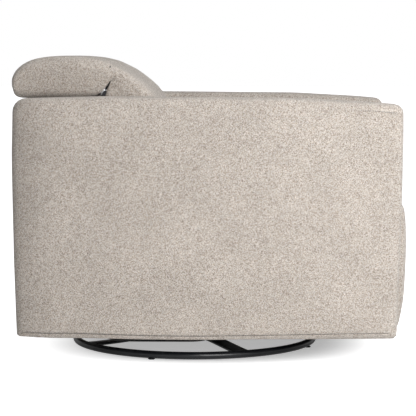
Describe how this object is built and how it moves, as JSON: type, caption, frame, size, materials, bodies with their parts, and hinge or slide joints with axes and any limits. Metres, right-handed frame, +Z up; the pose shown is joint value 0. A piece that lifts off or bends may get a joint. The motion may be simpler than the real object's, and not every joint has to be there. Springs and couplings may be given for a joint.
{
  "type": "glider nursery chair",
  "caption": "Low upholstered swivel glider recliner with track arms, folding ratchet headrest, pop-out footrest and a black steel floor ring.",
  "frame": {"origin": "centre of the overall box at floor level", "axes": "+Z up, -Y the way the sitter faces, X across the chair"},
  "size_m": [0.84, 0.9714, 0.7522],
  "materials": {
    "tweed": "heathered boucle tweed over foam",
    "black_steel": "semi-gloss black powder coat",
    "zinc_steel": "zinc-plated",
    "plywood": "raw plywood",
    "beech": "planed hardwood",
    "black_cloth": "non-woven dust cover",
    "webbing": "woven elastic webbing",
    "nylon": "moulded nylon"
  },
  "bodies": {
    "base": {"base_ring": "black_steel", "hub_plate": "black_steel", "race_lower": "zinc_steel", "swivel_bolt": "zinc_steel", "spoke_1": "black_steel", "spoke_2": "black_steel", "spoke_3": "black_steel", "spoke_4": "black_steel", "floor_pad_1": "nylon", "floor_pad_2": "nylon", "floor_pad_3": "nylon", "floor_pad_4": "nylon"},
    "turntable": {"race_upper": "zinc_steel", "turntable_plate": "black_steel", "glide_post_right": "black_steel", "glide_post_left": "black_steel"},
    "front_links": {"glide_link_front_right": "zinc_steel", "glide_link_front_left": "zinc_steel"},
    "rear_links": {"glide_link_rear_right": "zinc_steel", "glide_link_rear_left": "zinc_steel"},
    "chair": {"crossbar_front": "black_steel", "crossbar_rear": "black_steel", "seat_beam_front": "beech", "seat_beam_rear": "beech", "seat_webbing": "webbing", "seat_cushion": "tweed", "rear_apron": "tweed", "release_bezel": "nylon", "side_rail_right": "black_steel", "side_rail_left": "black_steel", "seat_beam_right": "beech", "seat_beam_left": "beech", "arm_cover_right": "tweed", "arm_cover_left": "tweed", "arm_panel_right": "plywood", "arm_panel_left": "plywood", "dust_cover_right": "black_cloth", "dust_cover_left": "black_cloth"},
    "release": {"release_lever": "nylon"},
    "back": {"back_shell": "tweed", "back_board": "plywood", "back_cushion": "tweed", "back_arm_right": "black_steel", "back_arm_left": "black_steel", "ratchet_lower_right": "black_steel", "ratchet_lower_left": "black_steel"},
    "headrest": {"headrest_cushion": "tweed", "headrest_board": "plywood", "ratchet_upper_right": "black_steel", "ratchet_upper_left": "black_steel"},
    "foot_upper": {"foot_tube": "zinc_steel", "foot_link_upper_right": "zinc_steel", "foot_link_upper_left": "zinc_steel"},
    "foot_lower": {"foot_link_lower_right": "zinc_steel", "foot_link_lower_left": "zinc_steel"},
    "foot_panel": {"footrest_board": "plywood", "footrest_pad": "tweed", "foot_bracket_right": "zinc_steel", "foot_bracket_left": "zinc_steel"}
  },
  "joints": [
    {"name": "swivel", "type": "hinge", "parent": "base", "child": "turntable", "pos_m": [0, 0.042, 0.03], "axis": [0, 0, 1], "continuous": true},
    {"name": "glide_front", "type": "hinge", "parent": "turntable", "child": "front_links", "pos_m": [0, -0.063, 0.235], "axis": [1, 0, 0], "range_deg": [-20, 20]},
    {"name": "glide_level", "type": "hinge", "parent": "front_links", "child": "chair", "pos_m": [0, -0.063, 0.105], "axis": [1, 0, 0], "range_deg": [-20, 20]},
    {"name": "glide_rear", "type": "hinge", "parent": "turntable", "child": "rear_links", "pos_m": [0, 0.147, 0.235], "axis": [1, 0, 0], "range_deg": [-20, 20]},
    {"name": "recline", "type": "hinge", "parent": "chair", "child": "back", "pos_m": [0, 0.2, 0.3], "axis": [-1, 0, 0], "range_deg": [0, 28]},
    {"name": "headrest_tilt", "type": "hinge", "parent": "back", "child": "headrest", "pos_m": [0, 0.246, 0.727], "axis": [1, 0, 0], "range_deg": [0, 85]},
    {"name": "footrest_drive", "type": "hinge", "parent": "chair", "child": "foot_upper", "pos_m": [0, -0.375, 0.318], "axis": [-1, 0, 0], "range_deg": [0, 75]},
    {"name": "footrest_fold", "type": "hinge", "parent": "foot_upper", "child": "foot_lower", "pos_m": [0, -0.375, 0.113], "axis": [1, 0, 0], "range_deg": [0, 150]},
    {"name": "footrest_tilt", "type": "hinge", "parent": "foot_lower", "child": "foot_panel", "pos_m": [0, -0.375, 0.318], "axis": [-1, 0, 0], "range_deg": [0, 165]},
    {"name": "release_pull", "type": "hinge", "parent": "chair", "child": "release", "pos_m": [-0.2721, -0.24, 0.555], "axis": [0, -1, 0], "range_deg": [0, 30], "stiffness_Nm_per_rad": 0.5}
  ],
  "couplings": [
    {"joint": "glide_front", "follows": "glide_level", "ratio": -1},
    {"joint": "glide_rear", "follows": "glide_level", "ratio": -1},
    {"joint": "footrest_fold", "follows": "footrest_drive", "ratio": 2},
    {"joint": "footrest_tilt", "follows": "footrest_drive", "ratio": 2.2}
  ]
}
